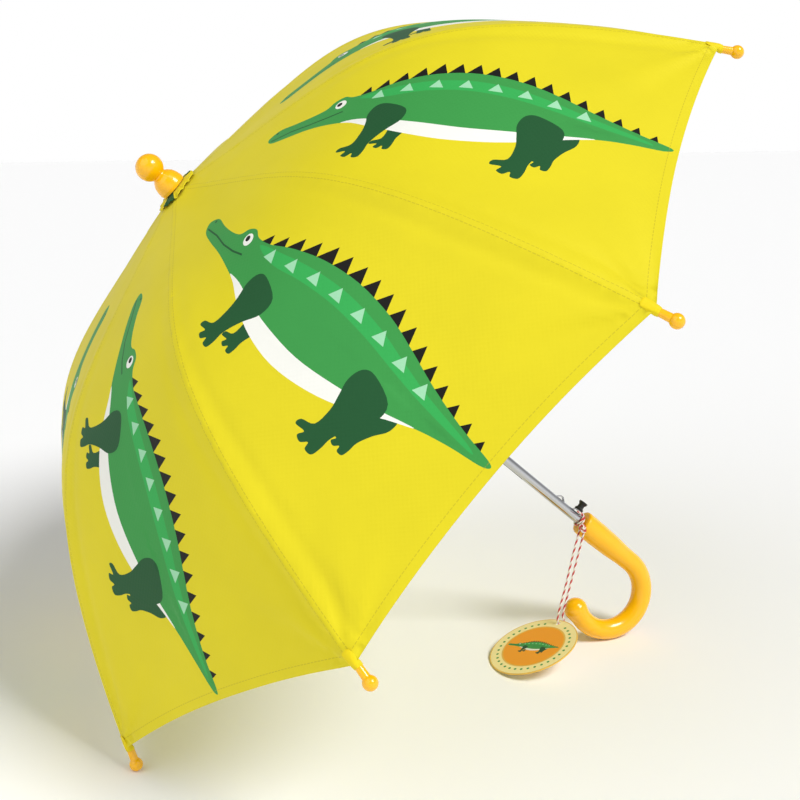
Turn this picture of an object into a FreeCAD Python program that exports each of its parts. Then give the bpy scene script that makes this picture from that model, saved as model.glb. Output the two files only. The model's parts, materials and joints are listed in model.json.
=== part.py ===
"""A children's push-button umbrella, lying open on the floor on two rib tips and its crook.

Everything is first built upright in the umbrella's own axes: Z runs up the shaft to the ferrule and
z = 0 is the crown of the canopy. The whole umbrella is then leaned over onto the floor.
"""

import FreeCAD, Part

import math
import os

V = FreeCAD.Vector
ORIGIN = V(0, 0, 0)
UP = V(0, 0, 1)
SIDE = V(0, 1, 0)

# driving dimensions, mm and degrees
RIB_COUNT = 8
RIB_STEP = 360 / RIB_COUNT
FIRST_RIB = 157.5
TIP_RADIUS = 350.0
TIP_Z = -214.6
TIP_BALL = 4.75
HINGE = (10.0, -3.5)
RIB_CONTROL = (HINGE, (176.0, -37.5), (216.5, -11.0), (TIP_RADIUS, TIP_Z))
RIB_STATIONS = 26
RIB_DEPTH = 2.6
RIB_WIDTH = 3.0
CHANNEL_START = 0.03
CLIP_T = 0.497
CLIP_DROP = 4.4
FOLD_ANGLE = 56.2

CLOTH = 0.4
CLOTH_ABOVE_RIB = 2.5
CLOTH_START = 0.006
CLOTH_END = 0.9815
HEM_CURVE = 0.017
BILLOW = 0.15
PANEL_ROWS = 12
PANEL_COLUMNS = 3
PANEL_GAP = 0.35

SHAFT_RADIUS = 4.0
SHAFT_BORE = 3.2
SHAFT_TOP = 12.0
SHAFT_BOTTOM = -488.0
SLIDE_FIT = 0.08
PIN_SLOT = 2.4

HANDLE_TOP = -436.0
GRIP_RADIUS = 10.5
GRIP_END = -496.5
CROOK_TUBE = 8.5
CROOK_RADIUS = 32.0
CROOK_TURN = 196.0
CROOK_AZIMUTH = 10.0
CROOK_BULB = 10.0
BULB_REACH = 8.0

CATCH_AZIMUTH = 190.0
NOSE_Z = -407.0
BUTTON_Z = -427.0
CATCH_PIVOT = (2.0, -440.0)
CATCH_SWING = 5.0

RUNNER_LENGTH = 64.0
SPRING_RADIUS = 2.4
SPRING_WIRE = 0.7
SPRING_TURNS = 34
SPRING_STOP_Z = -397.0

TWINE = 1.8
TAG_RADIUS = 37.5
TAG_THICKNESS = 1.0
TAG_HOLE = 2.2
TAG_HOLE_REACH = 33.2
# on the floor, in the finished axes: the tag's middle, its upper normal and where its hole points
TAG_MIDDLE = V(124.9, -38.5, 14.0)
TAG_NORMAL = V(-0.353, 0.009, 0.936)
TAG_TOWARDS_HOLE = V(0.816, 0.492, 0.303)
# the twine: a short tail, just over one turn round the shaft, down and through the tag, and back to the knot
TWINE_ROUTE = [
    (170.5, -7.6, 116.6), (176.0, -5.0, 112.6), (178.9, -1.6, 109.6), (176.1, -5.4, 107.6), (172.7, -4.4, 103.1),
    (171.6, 1.0, 101.4), (174.3, 5.4, 104.0), (178.3, 4.4, 108.0), (179.8, -1.0, 109.3), (177.6, -5.4, 106.3),
    (173.6, -7.6, 101.8), (170.6, -9.8, 93.2), (166.0, -12.3, 78.5), (159.2, -16.9, 54.5), (153.6, -20.4, 38.0),
    (150.6, -22.2, 27.7), (152.9, -22.2, 21.5), (158.8, -18.7, 23.7), (156.5, -18.6, 29.9), (159.2, -17.6, 39.0),
    (164.2, -15.6, 56.0), (171.0, -12.6, 80.5), (174.6, -11.4, 94.0), (175.6, -11.8, 100.6), (175.4, -9.6, 104.6),
]


# shapes from points
def solid_of(faces):
    """A closed solid from flat faces, each a list of corners."""
    shell = Part.makeShell([Part.Face(Part.makePolygon(list(f) + [f[0]])) for f in faces])
    shell.sewShape()
    solid = Part.makeSolid(shell)
    if solid.Volume < 0:
        solid.reverse()
    return solid


def skin(rings, flat=True):
    """A solid through rings of corners; flat=False splits each side face into two triangles."""
    faces = [list(rings[0]), list(reversed(rings[-1]))]
    count = len(rings[0])
    for low, high in zip(rings, rings[1:]):
        for i in range(count):
            j = (i + 1) % count
            if flat:
                faces.append([low[j], low[i], high[i], high[j]])
            else:
                faces.append([low[j], low[i], high[i]])
                faces.append([low[j], high[i], high[j]])
    return solid_of(faces)


def turned(profile):
    """A solid of revolution about Z from (radius, z) corners."""
    wire = Part.makePolygon([V(r, 0, z) for r, z in profile + [profile[0]]])
    return Part.Face(wire).revolve(ORIGIN, UP, 360)


def drum(radius, centre, length, axis=SIDE):
    """A cylinder of a given length centred on a point."""
    return Part.makeCylinder(radius, length, centre - axis * (length / 2), axis)


def block(start, along, length, width, depth):
    """A bar from start along a direction in the rib's plane, width across it and depth in the plane."""
    along = V(along).normalize()
    rise = along.cross(SIDE)
    corners = [
        start + SIDE * (width / 2 * a) + rise * (depth / 2 * b) for a, b in ((1, 1), (-1, 1), (-1, -1), (1, -1))
    ]
    return solid_of_bar(corners, along * length)


def solid_of_bar(corners, reach):
    """A flat outline carried along a straight line."""
    return Part.Face(Part.makePolygon(corners + [corners[0]])).extrude(reach)


def around(shape, azimuth):
    """A copy turned about the shaft."""
    copy = shape.copy()
    copy.rotate(ORIGIN, UP, azimuth)
    return copy


# the curve that every rib follows, in the plane of that rib: x outward, z up
def rib_point(t):
    """A point of the rib's cubic curve, t from 0 at the hinge to 1 at the tip ball."""
    weights = ((1 - t) ** 3, 3 * (1 - t) ** 2 * t, 3 * (1 - t) * t * t, t**3)
    x = sum(w * p[0] for w, p in zip(weights, RIB_CONTROL))
    z = sum(w * p[1] for w, p in zip(weights, RIB_CONTROL))
    return V(x, 0, z)


def rib_direction(t):
    """The unit direction of the rib towards its tip."""
    step = 1e-4
    return (rib_point(t + step) - rib_point(t - step)).normalize()


def rib_outward(t):
    """The unit normal of the rib's curve, away from the inside of the umbrella."""
    along = rib_direction(t)
    return V(-along.z, 0, along.x)


def rib_azimuth(k):
    """The azimuth of rib k, counted from 1."""
    return FIRST_RIB - RIB_STEP * (k - 1)


HINGE_POINT = V(HINGE[0], 0, HINGE[1])
CLIP_POINT = rib_point(CLIP_T) - rib_outward(CLIP_T) * CLIP_DROP
LINK_LENGTH = (CLIP_POINT - HINGE_POINT).Length
LINK_ANGLE = math.degrees(math.asin((HINGE_POINT.z - CLIP_POINT.z) / LINK_LENGTH))
RUNNER_Z = HINGE_POINT.z - 2 * LINK_LENGTH * math.sin(math.radians(LINK_ANGLE))
CLOSED_Z = HINGE_POINT.z - 2 * LINK_LENGTH * math.sin(math.radians(LINK_ANGLE + FOLD_ANGLE))
RUNNER_TRAVEL = RUNNER_Z - CLOSED_Z
RUNNER_PIVOT = V(HINGE[0], 0, RUNNER_Z)


# frame of the umbrella
def make_rib():
    """A fluted steel rib: a channel with its open side inward, an eye at the hub and a lug for the fork."""
    half, wall = RIB_WIDTH / 2, 0.5
    top, bottom = RIB_DEPTH / 2, -RIB_DEPTH / 2
    section = [
        (-half, bottom), (-half + wall, top), (half - wall, top), (half, bottom),
        (half - wall, bottom), (half - 2 * wall, top - wall), (2 * wall - half, top - wall), (wall - half, bottom),
    ]
    last = 1 - 5.0 / 420
    times = [CHANNEL_START + (last - CHANNEL_START) * i / RIB_STATIONS for i in range(RIB_STATIONS + 1)]
    points = [rib_point(t) for t in times]
    rings = []
    for i, point in enumerate(points):
        back = (point - points[i - 1]).normalize() if i else None
        ahead = (points[i + 1] - point).normalize() if i < RIB_STATIONS else None
        middle = V(back or ahead) + V(ahead or back)
        middle.normalize()
        mitre = V(-middle.z, 0, middle.x) / middle.dot(ahead or back)
        rings.append([point + SIDE * a + mitre * b for a, b in section])
    channel = skin(rings)
    start = rib_point(CHANNEL_START + 0.01)
    blade = block(HINGE_POINT, start - HINGE_POINT, (start - HINGE_POINT).Length, 2.0, 2.0)
    eye = drum(1.8, HINGE_POINT, 2.0)
    lug = block(CLIP_POINT, rib_outward(CLIP_T), CLIP_DROP, 1.8, 4.0).fuse(drum(2.0, CLIP_POINT, 1.8))
    rivet = drum(0.9, CLIP_POINT, 5.2)
    return channel.fuse([blade, eye, lug, rivet]).cut(drum(0.75, HINGE_POINT, 4))


def make_rib_tip():
    """The moulded ball end with the sleeve that the rib is pressed into."""
    centre = rib_point(1)
    back = rib_direction(0.999) * -1
    ball = Part.makeSphere(TIP_BALL, centre)
    sleeve = Part.makeCone(3.0, 2.6, 12.5, centre, back)
    bore = Part.makeCylinder(2.05, 10, centre + back * 3.5, back)
    return ball.fuse(sleeve).cut(bore)


def make_stretcher():
    """A round steel stretcher, forked over the rib's lug and with an eye at the runner."""
    down = (RUNNER_PIVOT - CLIP_POINT).normalize()
    ears = [
        block(CLIP_POINT + SIDE * side, down, 8.0, 1.0, 3.4).fuse(drum(1.7, CLIP_POINT + SIDE * side, 1.0))
        for side in (1.6, -1.6)
    ]
    bridge = block(CLIP_POINT + down * 4.6, down, 4.0, 4.2, 3.0)
    rod = Part.makeCylinder(1.3, LINK_LENGTH - 7.5, CLIP_POINT + down * 6.5, down)
    eye = drum(1.8, RUNNER_PIVOT, 2.0)
    whole = ears[0].fuse([ears[1], bridge, rod, eye])
    return whole.cut([drum(0.95, CLIP_POINT, 8), drum(0.75, RUNNER_PIVOT, 4)])


def slots(centre_z, height, inner, width=3.8):
    """One radial slot per rib."""
    cut = Part.makeBox(20, width, height, V(inner, -width / 2, centre_z - height / 2))
    return [around(cut, rib_azimuth(k)) for k in range(1, RIB_COUNT + 1)]


def make_top_notch():
    """The hub under the crown, slotted for the rib ends and grooved for their wire."""
    body = turned([(SHAFT_RADIUS, -11.0), (12.0, -11.0), (12.0, -1.3), (SHAFT_RADIUS, -1.3)])
    groove = turned([(9.4, HINGE[1] - 0.6), (13, HINGE[1] - 0.6), (13, HINGE[1] + 0.6), (9.4, HINGE[1] + 0.6)])
    return body.cut(slots(-6, 20, 7.0) + [groove])


def make_notch_wire():
    """The ring of wire that the rib eyes turn on."""
    return Part.makeTorus(HINGE[0], 0.5, V(0, 0, HINGE[1]))


def make_runner():
    """The sliding sleeve: a slotted crown for the stretchers over a long tube."""
    inner = SHAFT_RADIUS + SLIDE_FIT
    top, crown = RUNNER_Z + 4, RUNNER_Z - 4
    low = RUNNER_Z - RUNNER_LENGTH
    profile = [(inner, low), (6.6, low), (6.6, low + 4), (6.2, low + 5), (6.2, crown - 2), (7.0, crown),
               (12.5, crown), (12.5, top - 1), (11.5, top), (inner, top)]
    body = turned(profile).cut(slots(RUNNER_Z, 20, 7.6))
    window = Part.makeBox(10, 3.6, 14, V(0, -1.8, low + 4))
    pin_hole = Part.makeCylinder(1.0, 8, V(0, 0, RUNNER_Z - 12), V(1, 0, 0))
    return body.cut([around(window, CATCH_AZIMUTH), around(pin_hole, CROOK_AZIMUTH)])


def make_runner_pin():
    """The pin through the shaft's slot that the opening spring pushes on."""
    pin = Part.makeCylinder(1.0, 8.2, V(-1.6, 0, RUNNER_Z - 12), V(1, 0, 0))
    return around(pin, CROOK_AZIMUTH)


def make_opening_spring():
    """The compression spring inside the shaft, long when the umbrella is open."""
    low, high = SPRING_STOP_Z + 1.5, RUNNER_Z - 14
    steps = SPRING_TURNS * 10
    rings = []
    for i in range(steps + 1):
        turn = 2 * math.pi * i / 10
        out = V(math.cos(turn), math.sin(turn), 0)
        centre = out * SPRING_RADIUS + UP * (low + (high - low) * i / steps)
        half = SPRING_WIRE / 2
        rings.append([centre + out * (a * half) + UP * (b * half) for a, b in ((1, 1), (-1, 1), (-1, -1), (1, -1))])
    return skin(rings, flat=False)


def make_spring_stop():
    """The plug in the shaft that the opening spring stands on."""
    return Part.makeCylinder(SHAFT_BORE, 2.0, V(0, 0, SPRING_STOP_Z - 1))


def make_shaft():
    """The steel tube with a window for the catch and a long slot for the runner pin."""
    length = SHAFT_TOP - SHAFT_BOTTOM
    tube = Part.makeCylinder(SHAFT_RADIUS, length, V(0, 0, SHAFT_BOTTOM))
    bore = Part.makeCylinder(SHAFT_BORE, length - 10, V(0, 0, SHAFT_BOTTOM + 2))
    window = Part.makeBox(10, 3.4, 34, V(0.5, -1.7, BUTTON_Z - 5))
    slot = Part.makeBox(10, PIN_SLOT, RUNNER_TRAVEL + 6, V(0, -PIN_SLOT / 2, CLOSED_Z - 15))
    return tube.cut([bore, around(window, CATCH_AZIMUTH), around(slot, CROOK_AZIMUTH)])


def make_ferrule():
    """The moulded end: a bell that sits on the crown, a neck and a ball."""
    bell = [(0, 2.2), (10.8, 2.2), (11.0, 4.5), (10.6, 8.0), (9.4, 11.5), (7.6, 14.0), (6.0, 15.5), (5.6, 17.0),
            (0, 17.0)]
    ball = Part.makeSphere(10.2, V(0, 0, 24.7))
    return turned(bell).fuse(ball).cut(Part.makeCylinder(SHAFT_RADIUS, SHAFT_TOP, ORIGIN))


def make_crown_rosette():
    """The washer of gathered cloth between the ferrule and the canopy."""
    lower = [(SHAFT_RADIUS, 0.7), (9.0, 0.7), (15.5, -0.2)]
    upper = [(15.5, 1.0), (9.0, 1.9), (SHAFT_RADIUS, 1.9)]
    return turned(lower + upper)


# canopy
def cloth_seam(t):
    """The cloth over a rib: the rib's curve moved outward."""
    return rib_point(t) + rib_outward(t) * CLOTH_ABOVE_RIB


def cloth_point(u, v):
    """A point of the panel on the +Y side of a rib, u from 0 on that rib to 1 on the next one."""
    arch = 4 * u * (1 - u)
    t = CLOTH_START + (CLOTH_END - CLOTH_START) * v * (1 - HEM_CURVE * arch)
    seam = cloth_seam(t)
    turn = math.radians(RIB_STEP)
    near = V(seam.x, 0, seam.z)
    far = V(seam.x * math.cos(turn), seam.x * math.sin(turn), seam.z)
    point = near * (1 - u) + far * u
    sagitta = seam.x * (1 - math.cos(turn / 2))
    middle = V(math.cos(turn / 2), math.sin(turn / 2), 0)
    return point + middle * (BILLOW * sagitta * arch)


def cloth_normal(u, v):
    """The unit normal of the cloth, away from the inside."""
    step = 1e-3
    across = cloth_point(u + step, v) - cloth_point(u - step, v)
    along = cloth_point(u, v + step) - cloth_point(u, v - step)
    return along.cross(across).normalize()


def cloth_patch(u_range, v_range, columns, rows, low, high):
    """A sheet of flat triangles over part of a panel, between two offsets from the cloth's middle."""
    rings = []
    for i in range(rows + 1):
        v = v_range[0] + (v_range[1] - v_range[0]) * i / rows
        gap = PANEL_GAP / (2 * math.sin(math.radians(RIB_STEP / 2)) * cloth_point(0, v).x)
        start, end = max(u_range[0], gap), min(u_range[1], 0.5 - gap)
        spots = [(start + (end - start) * j / columns, v) for j in range(columns + 1)]
        upper = [cloth_point(*s) + cloth_normal(*s) * high for s in spots]
        lower = [cloth_point(*s) + cloth_normal(*s) * low for s in reversed(spots)]
        rings.append(upper + lower)
    count = 2 * (columns + 1)
    faces = []
    for near, far in zip(rings, rings[1:]):
        for i in range(count):
            j = (i + 1) % count
            faces.append([near[j], near[i], far[i]])
            faces.append([near[j], far[i], far[j]])
    for ring, back in ((rings[0], False), (rings[-1], True)):
        for i in range(columns):
            quad = [ring[i], ring[i + 1], ring[count - 2 - i], ring[count - 1 - i]]
            quad = quad[::-1] if back else quad
            faces.append(quad[:3])
            faces.append([quad[0], quad[2], quad[3]])
    return solid_of(faces)


def make_half_panel():
    """The half of a panel next to its first rib."""
    return cloth_patch((0, 0.5), (0, 1), PANEL_COLUMNS, PANEL_ROWS, -CLOTH / 2, CLOTH / 2)


def make_closure_strap():
    """The strap that holds the folded canopy, lying on the cloth near the hem."""
    return cloth_patch((0.18, 0.45), (0.93, 0.962), 2, 1, 0.9, 1.9)


# handle and catch
def make_handle():
    """The crook handle: a tapering grip, a round bend and a swollen end."""
    taper = (GRIP_RADIUS - CROOK_TUBE) / 2
    grip = turned([
        (0, HANDLE_TOP), (GRIP_RADIUS - 1.6, HANDLE_TOP), (GRIP_RADIUS - 0.4, HANDLE_TOP - 0.6),
        (GRIP_RADIUS, HANDLE_TOP - 2.0), (GRIP_RADIUS, HANDLE_TOP - 18), (GRIP_RADIUS - taper * 0.6, HANDLE_TOP - 36),
        (CROOK_TUBE + 0.2, GRIP_END + 10), (CROOK_TUBE, GRIP_END), (0, GRIP_END),
    ])
    circle = Part.Wire(Part.makeCircle(CROOK_TUBE, V(0, 0, GRIP_END), UP))
    centre = V(CROOK_RADIUS, 0, GRIP_END)
    bend = Part.Face(circle).revolve(centre, SIDE * -1, CROOK_TURN)
    end_angle = math.radians(CROOK_TURN)
    end = centre + V(-math.cos(end_angle), 0, -math.sin(end_angle)) * CROOK_RADIUS
    onward = V(math.sin(end_angle), 0, -math.cos(end_angle))
    dome = [math.radians(10 * i) for i in range(9)]
    bulb = turned(
        [(0, -1), (CROOK_TUBE, 0), (9.0, 3.0), (9.6, 6.0)]
        + [(CROOK_BULB * math.cos(a), BULB_REACH + CROOK_BULB * math.sin(a)) for a in dome]
        + [(0, BULB_REACH + CROOK_BULB)]
    )
    bulb.Placement = FreeCAD.Placement(end, FreeCAD.Rotation(UP, onward))
    bore = Part.makeCylinder(SHAFT_RADIUS, HANDLE_TOP - SHAFT_BOTTOM, V(0, 0, SHAFT_BOTTOM))
    whole = grip.fuse([bend, bulb]).cut(bore)
    return around(whole, CROOK_AZIMUTH)


def make_lower_catch_spring():
    """The leaf in the shaft's window: its nose holds the closed runner."""
    line = [
        (2.2, NOSE_Z + 7), (6.6, NOSE_Z + 1), (6.6, NOSE_Z - 1), (3.4, NOSE_Z - 4.8), (3.9, BUTTON_Z + 5.5),
        (6.2, BUTTON_Z + 3), (6.2, BUTTON_Z - 2.6), (2.7, BUTTON_Z - 4), (2.7, CATCH_PIVOT[1]),
    ]
    back = [(x - 0.9, z) for x, z in reversed(line)]
    outline = [V(x, -1.4, z) for x, z in line + back]
    leaf = solid_of_bar(outline, SIDE * 2.8)
    roll = drum(0.7, V(CATCH_PIVOT[0], 0, CATCH_PIVOT[1]), 2.8)
    return around(leaf.fuse(roll), CATCH_AZIMUTH)


def make_push_button():
    """The waisted button on the leaf."""
    profile = [(0, 0), (3.8, 0), (3.8, 1.2), (2.7, 2.6), (2.7, 5.0), (3.8, 6.6), (3.8, 7.8), (0, 7.8)]
    button = turned(profile)
    button.rotate(ORIGIN, SIDE, 90)
    button.translate(V(6.2, 0, BUTTON_Z))
    return around(button, CATCH_AZIMUTH)


# the lean onto the floor
def crook_line():
    """Points along the middle of the crook, in umbrella axes, each with the radius there."""
    spots = []
    for i in range(99):
        angle = math.radians(CROOK_TURN) * i / 98
        spot = V(CROOK_RADIUS * (1 - math.cos(angle)), 0, GRIP_END - CROOK_RADIUS * math.sin(angle))
        spots.append((spot, CROOK_TUBE))
    turn = FreeCAD.Rotation(UP, CROOK_AZIMUTH)
    return [(turn.multVec(spot), radius) for spot, radius in spots]


def leaning(angle):
    """The turn from umbrella axes to the floor's axes for a given lean of the shaft."""
    return FreeCAD.Rotation(SIDE, -angle).multiply(FreeCAD.Rotation(UP, 180))


def depth_below_tips(angle):
    """How much lower the crook reaches than the rib tips at a given lean."""
    turn = leaning(angle)
    tip = FreeCAD.Rotation(UP, RIB_STEP / 2).multVec(rib_point(1))
    crook = min(turn.multVec(spot).z - radius for spot, radius in crook_line())
    return turn.multVec(tip).z - TIP_BALL - crook


def find_lean():
    """The lean at which two rib tips and the crook touch the floor together."""
    low, high = 30.0, 60.0
    for _ in range(50):
        middle = (low + high) / 2
        if depth_below_tips(middle) > 0:
            low = middle
        else:
            high = middle
    return (low + high) / 2


LEAN = find_lean()
TURN = leaning(LEAN)


def bounds_after(turn, shapes):
    """The box round shapes once they are turned."""
    box = FreeCAD.BoundBox()
    for shape in shapes:
        moved = shape.copy()
        moved.Placement = FreeCAD.Placement(ORIGIN, turn).multiply(shape.Placement)
        box.add(moved.optimalBoundingBox(False))
    return box


def make_parts():
    """Every node that isn't a free cord, in umbrella axes."""
    parts = {
        "shaft": make_shaft(),
        "top_notch": make_top_notch(),
        "notch_wire": make_notch_wire(),
        "ferrule": make_ferrule(),
        "crown_rosette": make_crown_rosette(),
        "runner": make_runner(),
        "runner_pin": make_runner_pin(),
        "opening_spring": make_opening_spring(),
        "spring_stop": make_spring_stop(),
        "lower_catch_spring": make_lower_catch_spring(),
        "push_button": make_push_button(),
        "handle": make_handle(),
    }
    rib, tip, stretcher = make_rib(), make_rib_tip(), make_stretcher()
    first_half = make_half_panel()
    second_half = first_half.mirror(ORIGIN, SIDE)
    for k in range(1, RIB_COUNT + 1):
        azimuth = rib_azimuth(k)
        parts[f"rib_{k}"] = around(rib, azimuth)
        parts[f"rib_tip_{k}"] = around(tip, azimuth)
        parts[f"stretcher_{k}"] = around(stretcher, azimuth)
        parts[f"panel_{k}_near"] = around(second_half, azimuth)
        parts[f"panel_{k}_far"] = around(first_half, azimuth - RIB_STEP)
    parts["closure_strap"] = around(make_closure_strap(), rib_azimuth(7))
    return parts


# the free cord and what hangs on it, already in the finished axes
def make_twine():
    """The twine as straight runs joined by tangent arcs, as large as the runs allow."""
    points = [V(*p) for p in TWINE_ROUTE]
    edges, start, radii, length = [], points[0], [], 0.0
    for before, corner, after in zip(points, points[1:], points[2:]):
        arriving, leaving = (corner - before).normalize(), (after - corner).normalize()
        half_turn = arriving.getAngle(leaving) / 2
        reach = 0.45 * min((corner - before).Length, (after - corner).Length)
        radius = reach / math.tan(half_turn)
        inward = (leaving - arriving).normalize()
        middle = corner + inward * (radius / math.cos(half_turn) - radius)
        first, last = corner - arriving * reach, corner + leaving * reach
        edges += [Part.makeLine(start, first), Part.Arc(first, middle, last).toShape()]
        start = last
        radii.append(round(radius, 1))
    edges.append(Part.makeLine(start, points[-1]))
    length = sum(edge.Length for edge in edges)
    circle = Part.Wire(Part.makeCircle(TWINE / 2, points[0], points[1] - points[0]))
    tube = Part.Wire(edges).makePipe(Part.Face(circle))
    print("twine radii, mm:", radii)
    print("twine length", round(length, 1), "volume over section x length",
          round(tube.Volume / (math.pi * (TWINE / 2) ** 2 * length), 4))
    return tube


def make_hang_tag():
    """The round card on the twine."""
    normal = V(TAG_NORMAL).normalize()
    outward = V(TAG_TOWARDS_HOLE)
    outward = (outward - normal * outward.dot(normal)).normalize()
    disc = Part.makeCylinder(TAG_RADIUS, TAG_THICKNESS, TAG_MIDDLE - normal * (TAG_THICKNESS / 2), normal)
    hole_middle = TAG_MIDDLE + outward * TAG_HOLE_REACH
    return disc.cut(Part.makeCylinder(TAG_HOLE, 6, hole_middle - normal * 3, normal))


def floor_placement(parts):
    """The move from umbrella axes to the finished ones: leaned over, centred and standing on z = 0."""
    box = bounds_after(TURN, parts.values())
    shift = V(-(box.XMin + box.XMax) / 2, -(box.YMin + box.YMax) / 2, -box.ZMin)
    return FreeCAD.Placement(shift, TURN)


def main():
    """Write every node."""
    os.makedirs("parts", exist_ok=True)
    parts = make_parts()
    lie = floor_placement(parts)
    print("lean", round(LEAN, 2), "placement", lie.Base)
    for shape in parts.values():
        shape.Placement = lie.multiply(shape.Placement)
    parts["tag_twine"] = make_twine()
    parts["hang_tag"] = make_hang_tag()
    for name, shape in parts.items():
        assert shape.isValid() and len(shape.Solids) == 1, name
        shape.exportStep(f"parts/{name}.step")


if __name__ == "__main__":
    main()
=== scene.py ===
# %% [markdown]
# # A children's umbrella
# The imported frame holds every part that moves: shaft, ribs, stretchers, runner, catch and plain canopy
# halves. This script dresses it: a printed canopy, moulded plastic, plated steel, twine and a card tag.
# %% Load the frame
import json
import math

import bpy
import numpy as np
from mathutils import Matrix, Vector
from mathutils.geometry import delaunay_2d_cdt


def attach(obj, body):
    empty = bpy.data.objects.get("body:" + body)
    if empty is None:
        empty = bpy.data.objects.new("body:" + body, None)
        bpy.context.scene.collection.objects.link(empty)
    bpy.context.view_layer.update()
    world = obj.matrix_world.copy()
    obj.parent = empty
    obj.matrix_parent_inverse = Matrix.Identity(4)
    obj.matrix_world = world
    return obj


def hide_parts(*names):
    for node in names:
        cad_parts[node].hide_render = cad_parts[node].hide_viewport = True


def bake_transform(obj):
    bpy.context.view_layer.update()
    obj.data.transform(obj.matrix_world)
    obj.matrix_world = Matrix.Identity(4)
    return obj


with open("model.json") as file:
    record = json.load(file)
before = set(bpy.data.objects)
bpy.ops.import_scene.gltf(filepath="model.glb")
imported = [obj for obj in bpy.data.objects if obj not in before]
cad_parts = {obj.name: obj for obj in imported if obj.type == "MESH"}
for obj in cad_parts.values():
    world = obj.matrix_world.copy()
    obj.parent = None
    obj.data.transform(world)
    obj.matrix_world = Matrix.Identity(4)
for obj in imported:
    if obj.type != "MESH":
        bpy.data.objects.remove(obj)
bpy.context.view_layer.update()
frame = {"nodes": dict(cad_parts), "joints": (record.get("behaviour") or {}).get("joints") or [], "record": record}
joints = {j["name"]: j for j in frame["joints"]}
MM = 0.001

# %% [markdown]
# The umbrella leans, so it has its own axes: up the shaft to the ferrule, and outward along each rib.
# They could be typed in as angles, but then they would be wrong as soon as the frame changed. Here they
# are read from the joints: the runner slides down the shaft, and each rib turns at the hub.
# %% Umbrella axes
RIBS = 8
UP = -np.array(joints["runner_slide"]["axis"], float)
hinges = np.array([joints[f"rib_{k}_fold"]["pos_m"] for k in range(1, RIBS + 1)], float)
hub = hinges.mean(0)
HINGE_DROP = 3.5 * MM
crown = hub + UP * HINGE_DROP
outward = hinges - hub
outward /= np.linalg.norm(outward, axis=1)[:, None]
along_y = np.cross(UP, outward)
FIRST_RIB, RIB_STEP = 157.5, 45.0
turn = math.radians(FIRST_RIB)
zero_x = outward[0] * math.cos(turn) - along_y[0] * math.sin(turn)
zero_y = np.cross(UP, zero_x)


def place(points, azimuth):
    """Moves points into the frame: crown + x * outward at the azimuth + y * across + z * up, in metres."""
    points, a = np.asarray(points, float), math.radians(azimuth)
    out = zero_x * math.cos(a) + zero_y * math.sin(a)
    across = np.cross(UP, out)
    return crown + points[..., :1] * out + points[..., 1:2] * across + points[..., 2:] * UP


print("shaft direction", UP.round(3), "crown", crown.round(4))

# %% [markdown]
# Most pieces here are tubes of some kind: twine, thread, pockets, the strap and its snap. Blender's
# curve bevel could make the round ones, but not the flat or twisted ones. So a helper turns rings of
# points into a mesh: the grid is closed round its second direction, and a fan closes each end, which
# gives a watertight shell.
# %% Mesh helpers


def add_mesh(name, points, faces, smooth=True):
    """An object from an array of points and an array (or list) of faces."""
    mesh = bpy.data.meshes.new(name)
    mesh.from_pydata([tuple(p) for p in np.asarray(points, float)], [], [tuple(map(int, f)) for f in faces])
    mesh.polygons.foreach_set("use_smooth", np.full(len(mesh.polygons), smooth))
    mesh.update()
    piece = bpy.data.objects.new(name, mesh)
    bpy.context.scene.collection.objects.link(piece)
    return piece


def grid_faces(rows, columns, first=0):
    """Quads of a rows by columns grid whose columns close on themselves."""
    i, j = np.meshgrid(np.arange(rows - 1), np.arange(columns), indexing="ij")
    a, b = i * columns + j, i * columns + (j + 1) % columns
    return np.stack([a, b, b + columns, a + columns], -1).reshape(-1, 4) + first


def closed_tube(rings):
    """Points and faces of rings (rows, columns, 3), with both ends closed by a fan to their middle."""
    rows, columns = rings.shape[:2]
    points = np.vstack([rings.reshape(-1, 3), rings[0].mean(0), rings[-1].mean(0)])
    j = np.arange(columns)
    k = (j + 1) % columns
    last = (rows - 1) * columns
    start = np.stack([k, j, np.full(columns, rows * columns)], -1)
    end = np.stack([last + j, last + k, np.full(columns, rows * columns + 1)], -1)
    return points, [*grid_faces(rows, columns), *start, *end]


def carry_frames(path):
    """Directions along and across a path: each side is the last, less its part along the path."""
    any_direction = [0.31, 0.87, 0.38]
    ahead = np.gradient(path, axis=0)
    ahead /= np.linalg.norm(ahead, axis=1)[:, None]
    side = np.cross(ahead[0], any_direction)
    sides = []
    for direction in ahead:
        side = side - direction * (side @ direction)
        side = side / np.linalg.norm(side)
        sides.append(side)
    sides = np.array(sides)
    return ahead, sides, np.cross(ahead, sides)


def tube_rings(path, radii, columns=40):
    """Rings round a path: centre + radius * (cos a * side + sin a * other side)."""
    _, side, other = carry_frames(path)
    a = np.linspace(0, 2 * np.pi, columns, endpoint=False)
    ring = np.cos(a)[None, :, None] * side[:, None] + np.sin(a)[None, :, None] * other[:, None]
    return path[:, None] + np.asarray(radii, float)[:, None, None] * ring


def linear(*srgb):
    """A display colour, 0 to 255, as scene-linear red, green, blue and alpha."""
    c = np.array(srgb, float) / 255
    c = np.where(c <= 0.04045, c / 12.92, ((c + 0.055) / 1.055) ** 2.4)
    return (*c.tolist(), 1.0)


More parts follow.
